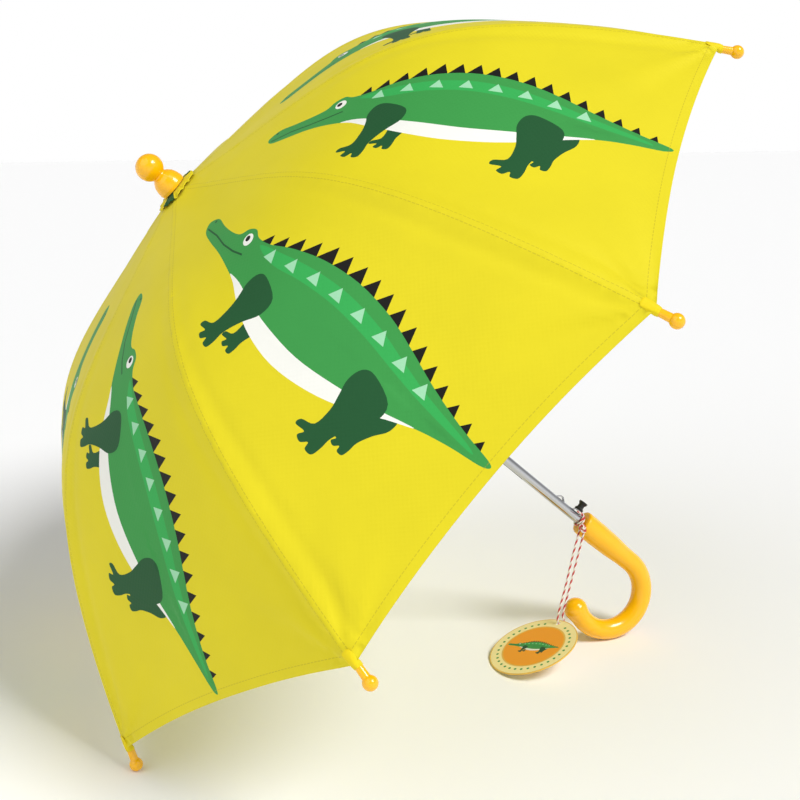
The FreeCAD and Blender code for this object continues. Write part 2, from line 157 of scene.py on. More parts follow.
# %% [markdown]
# ## Camera and cords first
# The camera stands a little above the umbrella and looks slightly down at it, through a lens a little
# longer than a normal one, which keeps the near rib tips from looking swollen.
# %% Camera
CAMERA_AT = Vector((-0.2362, -1.0180, 0.5155))
CAMERA_FORWARD = Vector((0.23641, 0.94242, -0.23654))
CAMERA_ROLL = math.radians(0.59)
camera_data = bpy.data.cameras.new("camera")
camera_data.lens = 61.92
camera_data.sensor_width = 36.0
camera_data.shift_y = -0.0625
camera = bpy.data.objects.new("camera", camera_data)
turned = CAMERA_FORWARD.to_track_quat("-Z", "Y").to_matrix() @ Matrix.Rotation(CAMERA_ROLL, 3, "Z")
camera.matrix_world = Matrix.Translation(CAMERA_AT) @ turned.to_4x4()
bpy.context.scene.collection.objects.link(camera)
bpy.context.scene.camera = camera

# %% [markdown]
# Baker's twine is four thin plies laid round each other, two of them red. A striped plain tube would
# look the same from afar, but its outline would be too smooth close by, so the plies are real. They
# follow a smooth line that starts in a short tail, turns once round the shaft, drops to the tag, goes
# through it and comes back.
# %% Twine line
TWINE_ROUTE = [
    (170.5, -7.6, 116.6), (176.0, -5.0, 112.6), (178.9, -1.6, 109.6), (176.1, -5.4, 107.6),
    (172.7, -4.4, 103.1), (171.6, 1.0, 101.4), (174.3, 5.4, 104.0), (178.3, 4.4, 108.0),
    (179.8, -1.0, 109.3), (177.6, -5.4, 106.3), (173.6, -7.6, 101.8), (170.6, -9.8, 93.2),
    (166.0, -12.3, 78.5), (159.2, -16.9, 54.5), (153.6, -20.4, 38.0), (150.6, -22.2, 27.7),
    (152.9, -22.2, 21.5), (158.8, -18.7, 23.7), (156.5, -18.6, 29.9), (159.2, -17.6, 39.0),
    (164.2, -15.6, 56.0), (171.0, -12.6, 80.5), (174.6, -11.4, 94.0), (175.6, -11.8, 100.6),
    (175.4, -9.6, 104.6),
]


def nurbs_line(route, spacing):
    """Evenly spaced points of the smooth line whose control points are the route, in metres."""
    curve = bpy.data.curves.new("route", "CURVE")
    curve.dimensions = "3D"
    spline = curve.splines.new("NURBS")
    spline.points.add(len(route) - 1)
    for point, spot in zip(spline.points, route):
        point.co = (*(c * MM for c in spot), 1.0)
    spline.order_u = 3
    spline.use_endpoint_u = True
    spline.resolution_u = 24
    holder = bpy.data.objects.new("route", curve)
    bpy.context.scene.collection.objects.link(holder)
    bpy.context.view_layer.update()
    mesh = bpy.data.meshes.new_from_object(holder)
    line = np.empty(len(mesh.vertices) * 3)
    mesh.vertices.foreach_get("co", line)
    line = line.reshape(-1, 3)
    bpy.data.objects.remove(holder)
    bpy.data.meshes.remove(mesh)
    run = np.r_[0, np.cumsum(np.linalg.norm(np.diff(line, axis=0), axis=1))]
    at = np.linspace(0, run[-1], int(run[-1] / spacing) + 1)
    return np.stack([np.interp(at, run, line[:, i]) for i in range(3)], -1), run[-1]


LINE_SPACING = 0.35 * MM
twine_line, twine_length = nurbs_line(TWINE_ROUTE, LINE_SPACING)
print("twine length, mm", round(twine_length / MM, 1))

# %% Twine plies


def laid_plies(line, plies, ply_radius, lay_radius, pitch, columns=8):
    """Plies that wind round a line: each centre is the line plus lay_radius turned once per pitch."""
    _, side, other = carry_frames(line)
    run = np.r_[0, np.cumsum(np.linalg.norm(np.diff(line, axis=0), axis=1))]
    shells = []
    for n in range(plies):
        a = 2 * np.pi * (run / pitch + n / plies)
        centre = line + lay_radius * (np.cos(a)[:, None] * side + np.sin(a)[:, None] * other)
        shells.append(closed_tube(tube_rings(centre, np.full(len(line), ply_radius), columns)))
    return shells


def join_shells(name, shells, tones=None):
    """One object from several (points, faces) shells; tones become the attribute 'tone', one per shell."""
    points = np.vstack([p for p, _ in shells])
    starts = np.cumsum([0] + [len(p) for p, _ in shells[:-1]])
    faces = [tuple(int(i) + s for i in f) for (_, fs), s in zip(shells, starts.tolist()) for f in fs]
    piece = add_mesh(name, points, faces)
    if tones is not None:
        tone = piece.data.attributes.new("tone", "FLOAT", "POINT")
        tone.data.foreach_set("value", np.repeat(np.array(tones, float), [len(p) for p, _ in shells]))
    return piece


PLIES, PLY_RADIUS, LAY_RADIUS, LAY_PITCH = 4, 0.42 * MM, 0.45 * MM, 7.2 * MM
PLY_TONES = [1, 1, 0, 0]
twine = join_shells("twine", laid_plies(twine_line, PLIES, PLY_RADIUS, LAY_RADIUS, LAY_PITCH), PLY_TONES)
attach(twine, "stick")
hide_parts("tag_twine")
print("twine triangles", len(twine.data.polygons))

# %% [markdown]
# The two ends are tied at the shaft. The knot is its own piece, because it isn't part of the measured
# length.
# %% Twine knot
KNOT_ROUTE = [
    (174.2, -8.2, 104.4), (176.9, -9.8, 102.4), (177.0, -12.2, 100.2), (174.6, -12.8, 99.4),
    (172.6, -10.8, 100.8), (172.8, -8.0, 103.2), (175.0, -7.4, 104.8), (177.2, -9.0, 103.8),
    (176.4, -11.6, 101.8), (173.6, -11.2, 102.6),
]
knot_line, knot_length = nurbs_line(KNOT_ROUTE, LINE_SPACING)
knot = join_shells("twine_knot", laid_plies(knot_line, PLIES, PLY_RADIUS, LAY_RADIUS, LAY_PITCH), PLY_TONES)
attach(knot, "stick")
print("knot length, mm", round(knot_length / MM, 1))

# %% [markdown]
# ## The print
# A plain crocodile in side view is printed on each panel. Its shapes are flat outlines, laid one over
# another as a screen printer would: legs, spines, body, belly, spots. A painted picture would need an
# image file, and colours on a coarse grid would have ragged edges. So the cloth is cut into triangles
# along every outline. The print stays crisp at any distance, and each triangle carries its ink as a
# colour attribute.
# %% Ink colours
YELLOW = linear(221, 206, 24)
TAB_YELLOW = linear(231, 208, 10)
GREEN = linear(56, 149, 69)
BRIGHT = linear(50, 168, 80)
DARK = linear(24, 82, 42)
BLACK = linear(10, 8, 4)
PALE = linear(156, 214, 172)
WHITE = linear(238, 238, 230)

# %% Outline shapes


def closed_curve(points, per_side=6):
    """A smooth closed outline through points, each span a Catmull-Rom cubic."""
    p = np.array(points, float)
    t = np.linspace(0, 1, per_side, endpoint=False)[None, :, None]
    a, b, c, d = (np.roll(p, n, 0)[:, None] for n in (1, 0, -1, -2))
    curve = 0.5 * (2 * b + (c - a) * t + (2 * a - 5 * b + 4 * c - d) * t**2 + (3 * b - a - 3 * c + d) * t**3)
    return curve.reshape(-1, 2)


def disc(x, y, radius, count=18):
    """A round outline."""
    a = np.linspace(0, 2 * np.pi, count, endpoint=False)
    return np.stack([x + radius * np.cos(a), y + radius * np.sin(a)], -1)


def leg(x, y, reach, lean, size):
    """A stubby leg: a round haunch at (x, y), a shin out to one side and a flat foot with three toes."""
    haunch_start = [(-13, -4), (-11, -12), (-2, -15), (8, -13), (reach * 0.6, -9 + lean * 0.6)]
    foot = [(0, -9), (3, -17), (7, -18), (7, -11), (11, -13), (13, -9), (10, -5), (14, -4), (14, 1), (8, 3),
            (0, 4)]
    haunch_end = [(reach * 0.6, 8 + lean * 0.6), (6, 13), (-6, 12)]
    shape = haunch_start + [(reach + a, b + lean) for a, b in foot] + haunch_end
    return closed_curve([(x - size * a, y + size * b) for a, b in shape], 4)


BACK = [(-4, 0), (0, 5), (7, 7.5), (20, 6.5), (36, 7), (48, 9.5), (54, 16), (62, 19), (70, 16), (84, 17.5),
        (104, 25), (130, 32), (160, 35), (190, 32), (215, 25), (236, 18), (256, 12.5), (274, 8.5), (292, 5.5)]
FRONT = [(296, 3), (290, 0), (270, -3), (248, -8), (230, -15), (208, -25), (180, -33), (150, -36), (122, -32),
         (98, -24), (80, -16), (62, -12), (40, -9), (18, -8), (2, -6)]


def back_at(a):
    """Height of the crocodile's back above its middle line at a distance from the snout."""
    line = np.array(BACK, float)
    return np.interp(a, line[:, 0], line[:, 1])


def crocodile():
    """Shapes as (outline, ink) in millimetres: x from belly to back, y from snout to tail."""
    def turned_over(points):
        return np.array([(b, a) for a, b in points], float)

    shapes = [(leg(-14, 122, 30, -4, 0.8), DARK), (leg(-14, 226, 28, -4, 0.8), DARK)]
    for a in np.arange(80, 286, 12.6):
        height = np.interp(a, [80, 130, 200, 286], [7, 12, 10, 5])
        width = np.interp(a, [80, 130, 286], [5.2, 7.4, 4])
        base = back_at(a) - 2
        shapes.append((np.array([(base, a - width), (base + height + 2, a + 2), (base, a + width)]), BLACK))
    shapes.append((closed_curve(turned_over(BACK + FRONT), 4), GREEN))
    ridge = [(76, 13), (100, 18.5), (130, 24), (160, 26), (190, 23), (215, 17), (240, 11), (276, 5), (280, 2),
             (240, 5), (212, 9), (186, 13), (156, 15), (126, 13), (98, 9)]
    shapes.append((closed_curve(turned_over(ridge), 4), BRIGHT))
    belly = [(70, -13), (84, -13), (104, -17), (130, -21), (160, -23), (190, -20), (218, -15), (240, -9.5),
             (246, -8.6), (230, -15.2), (208, -25.2), (180, -33.2), (150, -36.2), (122, -32.2), (98, -24.2),
             (80, -16.2)]
    shapes.append((closed_curve(turned_over(belly), 4), WHITE))
    for a in np.arange(92, 256, 20.5):
        spot = back_at(a) * 0.64
        shapes.append((np.array([(spot - 4, a - 5), (spot + 4.6, a), (spot - 4, a + 5)]), PALE))
    shapes.append((leg(-12, 106, 30, -6, 1.0), DARK))
    shapes.append((leg(-14, 212, 28, -4, 1.08), DARK))
    shapes.append((disc(10.5, 61, 4.6), WHITE))
    shapes.append((disc(10.9, 59.8, 2.2), BLACK))
    shapes.append((disc(4.4, 3.4, 1.2, 10), DARK))
    mouth = [(-2.4, 0), (-1.2, 20), (-2.2, 38), (-1.0, 54), (1.4, 66), (0.2, 67), (-2.2, 55), (-3.4, 38),
             (-2.4, 20), (-3.6, 1)]
    shapes.append((np.array(mouth, float), DARK))
    return shapes


def inside(points, outline):
    """Which points lie inside an outline: a ray to the right crosses it an odd number of times."""
    x, y = points[:, 0][:, None], points[:, 1][:, None]
    ax, ay = outline[:, 0], outline[:, 1]
    bx, by = np.roll(ax, -1), np.roll(ay, -1)
    crosses = (ay > y) != (by > y)
    reach = ax + (y - ay) * (bx - ax) / np.where(by == ay, 1e-12, by - ay)
    return (crosses & (x < reach)).sum(1) % 2 == 1


def cut_cloth(outline, shapes, spacing, extra=(), base=YELLOW):
    """Triangles of a flat outline, cut along every shape, and the ink of each. All in the outline's units."""
    low, high = outline.min(0), outline.max(0)
    across, down = np.arange(low[0], high[0], spacing), np.arange(low[1], high[1], spacing * 0.87)
    gx, gy = np.meshgrid(across, down, indexing="ij")
    gx = gx + (np.arange(gx.shape[1]) % 2)[None, :] * spacing / 2
    grid = np.stack([gx.ravel(), gy.ravel()], -1)
    grid = grid[inside(grid, outline)]
    for line in [outline] + [s for s, _ in shapes] + list(extra):
        ends = np.vstack([line, line[:1]])
        near = np.min(np.linalg.norm(grid[:, None] - ends[None], axis=2), axis=1)
        grid = grid[near > spacing * 0.4]
    points, edges = [grid], []
    count = len(grid)
    for line, is_closed in [(outline, True)] + [(s, True) for s, _ in shapes] + [(e, False) for e in extra]:
        i = count + np.arange(len(line))
        edges += list(zip(i.tolist(), np.roll(i, -1).tolist()))[: None if is_closed else -1]
        points.append(line)
        count += len(line)
    flat = [Vector(p) for p in np.vstack(points).tolist()]
    verts, _, faces, *_ = delaunay_2d_cdt(flat, edges, [], 0, 1e-5)
    verts, faces = np.array([tuple(v) for v in verts]), np.array(faces)
    middle = verts[faces].mean(1)
    keep = inside(middle, outline)
    faces, middle = faces[keep], middle[keep]
    ink = np.tile(np.array(base), (len(faces), 1))
    for shape, colour in shapes:
        ink[inside(middle, shape)] = colour
    used, faces = np.unique(faces, return_inverse=True)
    return verts[used], faces.reshape(-1, 3), ink


# %% [markdown]
# ## The canopy
# Over each rib the cloth follows the rib's bend. Between two ribs it is pulled nearly straight, with a
# little billow. A cloth simulation could drape it, but an open umbrella is stretched so tight that
# there is nothing to drape, and a simulated mesh would lose the print's outlines. So a point of a panel
# is found by formula from flat coordinates: how far from the panel's middle, and how far from the crown
# along the cloth. The relief on top is the seam, its puckers, and the pull folds at the tips.
# %% Rib line and cloth surface
RIB_CONTROL = np.array([(10.0, -3.5), (176.0, -37.5), (216.5, -11.0), (350.0, -214.6)]) * MM
CLOTH_ABOVE_RIB = 2.5 * MM
CLOTH_START, CLOTH_END = 0.006, 0.9815
HEM_CURVE, BILLOW = 0.017, 0.15
CLOTH_THICKNESS = 0.3 * MM
HALF_TURN = math.pi / RIBS


def cloth_seam(t):
    """Radius and height of the cloth over a rib: the rib's cubic curve moved outward along its normal."""
    t = np.asarray(t, float)[..., None]
    a, b, c, d = RIB_CONTROL
    point = (1 - t) ** 3 * a + 3 * (1 - t) ** 2 * t * b + 3 * (1 - t) * t**2 * c + t**3 * d
    slope = (1 - t) ** 2 * (b - a) + 2 * (1 - t) * t * (c - b) + t**2 * (d - c)
    slope /= np.linalg.norm(slope, axis=-1, keepdims=True)
    return point + CLOTH_ABOVE_RIB * np.stack([-slope[..., 1], slope[..., 0]], -1)


T_TABLE = np.linspace(CLOTH_START, CLOTH_END, 2000)
SEAM_TABLE = cloth_seam(T_TABLE)
RUN_TABLE = np.r_[0, np.cumsum(np.linalg.norm(np.diff(SEAM_TABLE, axis=0), axis=1))]
CLOTH_RUN = RUN_TABLE[-1]
print("cloth from crown to corner, mm", round(CLOTH_RUN / MM, 1))


def panel_relief(x, y, chord, k):
    """How far the cloth stands off its smooth form: seam ridge, puckers, pull folds at the tips, sway."""
    from_seam = chord / 2 - np.abs(x)
    rib = np.where(x > 0, k, k % RIBS + 1)
    side = np.where(x > 0, 1.0, -1.0)
    ridge = 0.45 * MM * np.exp(-((from_seam / (1.3 * MM)) ** 2))
    beat = np.sin(y / (3.1 * MM) + 1.7 * rib) * np.sin(y / (8.3 * MM) + 0.9 * rib + side)
    corner_y = CLOTH_RUN - y
    beside_seam = np.exp(-from_seam / (5 * MM)) * np.clip(from_seam / (2.5 * MM), 0, 1)
    pucker = 0.3 * MM * beat * beside_seam * np.clip(corner_y / (20 * MM), 0, 1)
    reach = np.hypot(from_seam, corner_y)
    angle = np.arctan2(from_seam, np.maximum(corner_y, 1e-6))
    fade = np.exp(-reach / (60 * MM)) * np.clip(reach / (14 * MM), 0, 1) * np.clip(from_seam / (5 * MM), 0, 1)
    folds = 0.9 * MM * fade * (np.sin(8 * angle + rib + side) + 0.5 * np.sin(15 * angle + 2.1 * rib))
    # the tight cloth dips beside the seam, most of all towards the tip
    wander = 11 * MM + 3 * MM * np.sin(y / (55 * MM) + rib + side)
    pull = np.clip((y - 90 * MM) / (150 * MM), 0, 1) * np.clip(corner_y / (25 * MM), 0, 1)
    trough = np.exp(-(((from_seam - wander) / (5.5 * MM)) ** 2)) * np.clip(from_seam / (5 * MM), 0, 1)
    dip = -1.0 * MM * pull * trough
    inner = np.clip(from_seam / (25 * MM), 0, 1) * np.clip(y / (60 * MM), 0, 1)
    sway = 0.8 * MM * inner * np.sin(x / (23 * MM) + 1.3 * k) * np.sin(y / (41 * MM) + 0.7 * k)
    return ridge + pucker + folds + dip + sway


def chord_at(y):
    """Width of a panel at a distance down the cloth: 2 * radius of the seam * sine of half a panel's turn."""
    return 2 * np.interp(y, RUN_TABLE, SEAM_TABLE[:, 0]) * math.sin(HALF_TURN)


def hem_t(u):
    """Where the hem runs on the rib's curve at a share u across the panel: it rises as 4 * u * (1 - u)."""
    return CLOTH_START + (CLOTH_END - CLOTH_START) * (1 - HEM_CURVE * 4 * u * (1 - u))


def panel_point(x, y, k):
    """A point of panel k, and its chord, from flat metres: x towards rib k, y down from the crown."""
    seam = np.stack([np.interp(y, RUN_TABLE, SEAM_TABLE[:, i]) for i in (0, 1)], -1)
    chord = chord_at(y)
    u = np.clip(0.5 - x / chord, 0, 1)[..., None]
    near, far = outward[k - 1], outward[k % RIBS]
    middle = (near + far) / np.linalg.norm(near + far)
    arch = 4 * u * (1 - u)
    across = near * (1 - u) + far * u + middle * (BILLOW * (1 - math.cos(HALF_TURN)) * arch)
    return crown + seam[..., :1] * across + seam[..., 1:] * UP, chord


def panel_surface(x, y, k):
    """The panel's point with its relief added along the normal, by the slope of the smooth form."""
    step = 0.4 * MM
    p, chord = panel_point(x, y, k)
    inward = np.where(x > 0, -step, step)
    near_y = np.maximum(y, 3 * MM)
    near_x = x * near_y / np.maximum(y, 1e-6) * (y > 1e-6)
    base = panel_point(near_x, near_y, k)[0]
    to_x = (panel_point(near_x + inward, near_y, k)[0] - base) * np.sign(inward)[..., None]
    to_y = base - panel_point(near_x * (1 - step / near_y), near_y - step, k)[0]
    normal = np.cross(to_y, to_x)
    normal /= np.linalg.norm(normal, axis=-1, keepdims=True)
    normal *= np.sign(normal @ UP + 1.7 * np.sum(normal * (p - crown), -1))[..., None]
    # at a seam both panels stand off along the rib's own normal, so that they stay joined
    across = np.where((x > 0)[..., None], along_y[k - 1], along_y[k % RIBS])
    shared = np.clip(1 - (chord / 2 - np.abs(x)) / (2.5 * MM), 0, 1)[..., None]
    normal -= across * np.sum(normal * across, -1, keepdims=True) * shared
    normal /= np.linalg.norm(normal, axis=-1, keepdims=True)
    return p + normal * panel_relief(x, y, chord, k)[..., None], normal


# %% Cut one flat panel
def panel_outline(spacing):
    """The flat cut of a panel in millimetres: two bowed seams and a gently hollow hem."""
    t = np.linspace(CLOTH_START, CLOTH_END, int(CLOTH_RUN / spacing))
    radius, run = np.interp(t, T_TABLE, SEAM_TABLE[:, 0]), np.interp(t, T_TABLE, RUN_TABLE)
    half = radius * math.sin(HALF_TURN)
    u = np.linspace(0, 1, int(2 * half[-1] / spacing))[1:-1]
    hem_half = np.interp(hem_t(u), T_TABLE, SEAM_TABLE[:, 0]) * math.sin(HALF_TURN)
    hem = np.stack([hem_half * (1 - 2 * u), np.interp(hem_t(u), T_TABLE, RUN_TABLE)], -1)
    right, left = np.stack([half, run], -1), np.stack([-half, run], -1)
    return np.vstack([right, hem, left[::-1]]) / MM


CLOTH_GRID = 4.5
PRINT_FROM = 96.0
outline = panel_outline(4 * MM)
print_shapes = [(shape + (0, PRINT_FROM), ink) for shape, ink in crocodile()]
middle_line = np.stack([np.zeros(90), np.linspace(0, outline[:, 1].max(), 90)], -1)
flat_points, flat_faces, flat_ink = cut_cloth(outline, print_shapes, CLOTH_GRID, [middle_line])
print("flat panel", len(flat_points), "points", len(flat_faces), "triangles")

# %% Panel shells


def hem_distance(x, y):
    """How far a flat point lies above the hem, in metres."""
    u = np.clip(0.5 - x / chord_at(y), 0, 1)
    return np.interp(hem_t(u), T_TABLE, RUN_TABLE) - y


def face_up(points, faces, normals):
    """Faces turned to agree with the normals, walls from their open edges to a second copy of the points, and
    the face that each wall belongs to."""
    normals = np.broadcast_to(normals, points.shape)
    facing = np.cross(points[faces[:, 1]] - points[faces[:, 0]], points[faces[:, 2]] - points[faces[:, 0]])
    flip = np.sum(facing * normals[faces[:, 0]], 1) < 0
    faces = np.where(flip[:, None], faces[:, ::-1], faces)
    count = len(points)
    edges = np.vstack([faces[:, [0, 1]], faces[:, [1, 2]], faces[:, [2, 0]]])
    owner = np.tile(np.arange(len(faces)), 3)
    _, where, times = np.unique(np.sort(edges, 1) @ [count, 1], return_index=True, return_counts=True)
    rim = where[times == 1]
    a, b = edges[rim].T
    walls = np.vstack([np.stack([b, a, a + count], -1), np.stack([b, a + count, b + count], -1)])
    return faces, walls, np.tile(owner[rim], 2)


def cloth_shell(name, points, faces, ink, k):
    """A closed shell of cloth: an outer face, an inner face that is thicker at the hem, and walls between."""
    x, y = points[:, 0] * MM, points[:, 1] * MM
    surface, normal = panel_surface(x, y, k)
    from_hem = hem_distance(x, y)
    from_seam = chord_at(y) / 2 - np.abs(x)
    doubled = 0.35 * MM * np.clip((8 * MM - from_hem) / (0.8 * MM), 0, 1)
    outer = surface + normal * (CLOTH_THICKNESS / 2 + doubled * 0.4)[:, None]
    inner = surface - normal * (CLOTH_THICKNESS / 2 + doubled)[:, None]
    side, walls, owner = face_up(outer, faces, normal)
    all_faces = np.vstack([side, side[:, ::-1] + len(points), walls])
    piece = add_mesh(name, np.vstack([outer, inner]), all_faces)
    mesh = piece.data
    inks = np.vstack([ink, ink, ink[owner]])
    count = len(points)
    layer = mesh.color_attributes.new("print", "FLOAT_COLOR", "CORNER")
    layer.data.foreach_set("color", np.repeat(inks, 3, axis=0).ravel())
    corner = all_faces.ravel() % count
    for layer_name, values in (("cloth", [x, y]), ("edges", [from_seam, from_hem])):
        flat_map = mesh.uv_layers.new(name=layer_name)
        flat_map.data.foreach_set("uv", np.stack(values, -1)[corner].ravel())
    inside_face = np.repeat(np.r_[np.zeros(len(side)), np.ones(len(side)), np.zeros(len(walls))], 3)
    mark = mesh.attributes.new("inside", "FLOAT", "CORNER")
    mark.data.foreach_set("value", inside_face)
    return piece


def smooth_normals(piece, k, x, y):
    """Normals of the whole canopy put on a half panel, so no crease shows where halves meet."""
    step = 0.5 * MM
    y = np.maximum(y, 3 * MM)
    p, normal = panel_surface(x, y, k)
    chord = chord_at(y)
    x = np.clip(x, -chord / 2, chord / 2)
    px, _ = panel_surface(x + np.where(x > 0, -step, step), y, k)
    py, _ = panel_surface(x * (1 - step / y), y - step, k)
    fine = np.cross(px - p, p - py)
    fine /= np.linalg.norm(fine, axis=1, keepdims=True) + 1e-12
    fine *= np.sign(np.sum(fine * normal, 1))[:, None]
    # at a seam the two panels share the mean of their slopes, which lies in the rib's own plane
    blend = np.clip(1 - (chord / 2 - np.abs(x)) / (1.5 * MM), 0, 1)[:, None]
    across = np.where((x > 0)[:, None], along_y[k - 1], along_y[k % RIBS])
    shared = fine - across * np.sum(fine * across, 1)[:, None]
    fine = fine * (1 - blend) + shared * blend
    fine /= np.linalg.norm(fine, axis=1, keepdims=True)
    piece.data.normals_split_custom_set_from_vertices(np.vstack([fine, -fine]).tolist())


centre_x = flat_points[flat_faces].mean(1)[:, 0]
canopy = []
for k in range(1, RIBS + 1):
    for half_name, chosen in (("near", centre_x > 0), ("far", centre_x <= 0)):
        used, faces = np.unique(flat_faces[chosen], return_inverse=True)
        points = flat_points[used]
        name = f"canopy_{k}_{half_name}"
        piece = cloth_shell(name, points, faces.reshape(-1, 3), flat_ink[chosen], k)
        x, y = points[:, 0] * MM, points[:, 1] * MM
        smooth_normals(piece, k, x, y)
        rib = k if half_name == "near" else k % RIBS + 1
        node = f"panel_{k}_{half_name}"
        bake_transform(piece)
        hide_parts(node)
        canopy.append((piece, k, rib))
print("canopy triangles", sum(len(p.data.polygons) for p, _, _ in canopy))

# %% [markdown]
# Where the cloth ends at a rib's tip it is doubled into a small pocket that is pulled over the tip's
# sleeve.
# %% Corner pockets
POCKET_FROM, POCKET_TO = 0.967, 0.985
POCKET_AT = [0, 0.1, 0.5, 0.8, 0.92, 1]


def rib_line(t):
    """A point of the rib's curve and its directions along and outward, in metres in the rib's plane."""
    a, b, c, d = RIB_CONTROL
    point = (1 - t) ** 3 * a + 3 * (1 - t) ** 2 * t * b + 3 * (1 - t) * t**2 * c + t**3 * d
    slope = (1 - t) ** 2 * (b - a) + 2 * (1 - t) * t * (c - b) + t**2 * (d - c)
    slope /= np.linalg.norm(slope)
    along, up = np.array([slope[0], 0, slope[1]]), np.array([-slope[1], 0, slope[0]])
    return np.array([point[0], 0, point[1]]), along, up


def pocket_rings():
    """Ovals along the end of a rib: centre + up * (lift + height * sin a) + across * width * cos a."""
    rows = 24
    stations = [rib_line(t) for t in np.linspace(POCKET_FROM, POCKET_TO, rows)]
    s = np.linspace(0, 1, rows)[:, None]
    a = np.linspace(0, 2 * np.pi, 36, endpoint=False)[None, :]
    width = np.interp(s, POCKET_AT, [1.2, 3.2, 3.5, 3.3, 3.1, 2.95])
    top = np.interp(s, POCKET_AT, [2.9, 3.35, 3.55, 3.55, 3.2, 2.9])
    bottom = np.interp(s, POCKET_AT, [2.5, 2.3, 0, -2.6, -2.9, -2.85])
    lift, height = (top + bottom) / 2, (top - bottom) / 2
    gather = 1 + 0.04 * np.sin(6 * a) * s
    up = lift + height * gather * np.sin(a)
    centre, normal = np.array([p for p, _, _ in stations]), np.array([n for _, _, n in stations])
    across = width * gather * np.cos(a)
    offset = up[..., None] * normal[:, None] + across[..., None] * np.array([0, 1.0, 0])
    return centre[:, None] + offset * MM


def one_ink(piece, colour):
    """Prints a whole piece in one ink."""
    layer = piece.data.color_attributes.new("print", "FLOAT_COLOR", "POINT")
    layer.data.foreach_set("color", np.tile(colour, len(piece.data.vertices)))


pockets = []
for k in range(1, RIBS + 1):
    pocket_points, pocket_faces = closed_tube(place(pocket_rings(), FIRST_RIB - RIB_STEP * (k - 1)))
    pocket = add_mesh(f"corner_pocket_{k}", pocket_points, pocket_faces)
    one_ink(pocket, TAB_YELLOW)
    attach(pocket, f"rib_{k}")
    pockets.append(pocket)
print("corner pockets", len(pockets))

# %% [markdown]
# Inside, the cloth is tied to each rib by a few turns of thread at two places, knotted on the cloth's
# side. Thin rings would do from afar, but a coil shows the separate turns.
# %% Rib ties
TIE_AT = (0.3, 0.74)
TIE_TURNS, TIE_THREAD, TIE_STEP = 4, 0.3, 0.55
TIE_HALF_WIDTH, TIE_HALF_HEIGHT = 2.0, 1.9


def tie_shells(k):
    """Two coils round rib k: middle + up * height * cos a + across * width * sin a, a thread on each turn."""
    shells = []
    for t in TIE_AT:
        middle, along, up = rib_line(t)
        a = np.linspace(0, 2 * np.pi * TIE_TURNS, 24 * TIE_TURNS)[:, None]
        coil = middle + up * 0.5 * MM + along * (a / (2 * np.pi) - TIE_TURNS / 2) * TIE_STEP * MM
        oval = np.cos(a) * up * TIE_HALF_HEIGHT + np.sin(a) * np.array([0, 1, 0]) * TIE_HALF_WIDTH
        coil = place(coil + oval * MM, FIRST_RIB - RIB_STEP * (k - 1))
        shells.append(closed_tube(tube_rings(coil, np.full(len(coil), TIE_THREAD * MM), 8)))
    return shells


ties = []
for k in range(1, RIBS + 1):
    tie = join_shells(f"rib_tie_{k}", tie_shells(k), [0, 0])
    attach(tie, f"rib_{k}")
    ties.append(tie)
print("ties", len(ties))

# %% [markdown]
# The washer under the ferrule is a doubled round of the same cloth, gathered so that its edge ruffles.
# It is a ring whose height is a zigzag round the shaft, growing towards the edge, because gathered
# cloth folds and doesn't ripple like a sine.
# %% Crown ruffle
RUFFLE_COLUMNS, RUFFLE_INNER, RUFFLE_OUTER, RUFFLE_WALL = 240, 4.2, 18.2, 0.6
PRINTED_FROM_TO = [(32, 74), (190, 222), (300, 318)]
ruffle_a = np.linspace(0, 2 * np.pi, RUFFLE_COLUMNS, endpoint=False)[None, :]
ruffle_s = np.linspace(0, 1, 22)[:, None]
edge = RUFFLE_OUTER + 0.9 * np.sin(5 * ruffle_a + 1) + 0.5 * np.sin(13 * ruffle_a)
ruffle_r = RUFFLE_INNER + (edge - RUFFLE_INNER) * ruffle_s
flare = np.clip((ruffle_r - 10) / 8, 0, 1)
wave = np.arcsin(np.sin(13 * ruffle_a + 0.8 * np.sin(3 * ruffle_a))) / 1.57 + 0.3 * np.sin(29 * ruffle_a + 2)
ruffle_z = 1.25 - 0.2 * np.clip(ruffle_r - 9, 0, None) + 0.75 * flare * wave
ruffle_top = ruffle_z + RUFFLE_WALL / 2 + 0 * ruffle_a
upper = np.stack([ruffle_r * np.cos(ruffle_a), ruffle_r * np.sin(ruffle_a), ruffle_top], -1)
lower = upper - [0, 0, RUFFLE_WALL]
ring = np.vstack([upper, lower[::-1], upper[:1]])[:-1]
rows, columns = ring.shape[:2]
ruffle_faces = grid_faces(rows + 1, columns) % (rows * columns)
ruffle = add_mesh("crown_ruffle", place(ring.reshape(-1, 3) * MM, 0), ruffle_faces)
degrees = np.degrees(ruffle_a) + 0 * ring[..., 0]
printed = sum((degrees > start) & (degrees < end) for start, end in PRINTED_FROM_TO) > 0
tint = np.where(printed[..., None], np.array(DARK), np.array(YELLOW))
ink_layer = ruffle.data.color_attributes.new("print", "FLOAT_COLOR", "POINT")
ink_layer.data.foreach_set("color", tint.reshape(-1, 4).ravel())
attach(ruffle, "stick")
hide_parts("crown_rosette")

# %% [markdown]
# The strap that holds the folded canopy is a doubled band of the cloth, closed by a snap. It lies on
# the canopy, so it is built from the canopy's own surface, lifted off it, and follows every bend
# without being fitted.
# %% Strap
STRAP_ACROSS, STRAP_DOWN = (0.18, 0.45), (0.93, 0.962)
STRAP_PANEL = 6


def on_far_half(u, y, k, lift):
    """Points lifted off the far half of panel k, and their blend shares: u from its rib, y down it."""
    surface, normal = panel_surface(-(0.5 - u) * chord_at(y), y, k)
    return surface + normal * lift[..., None], 2 * u


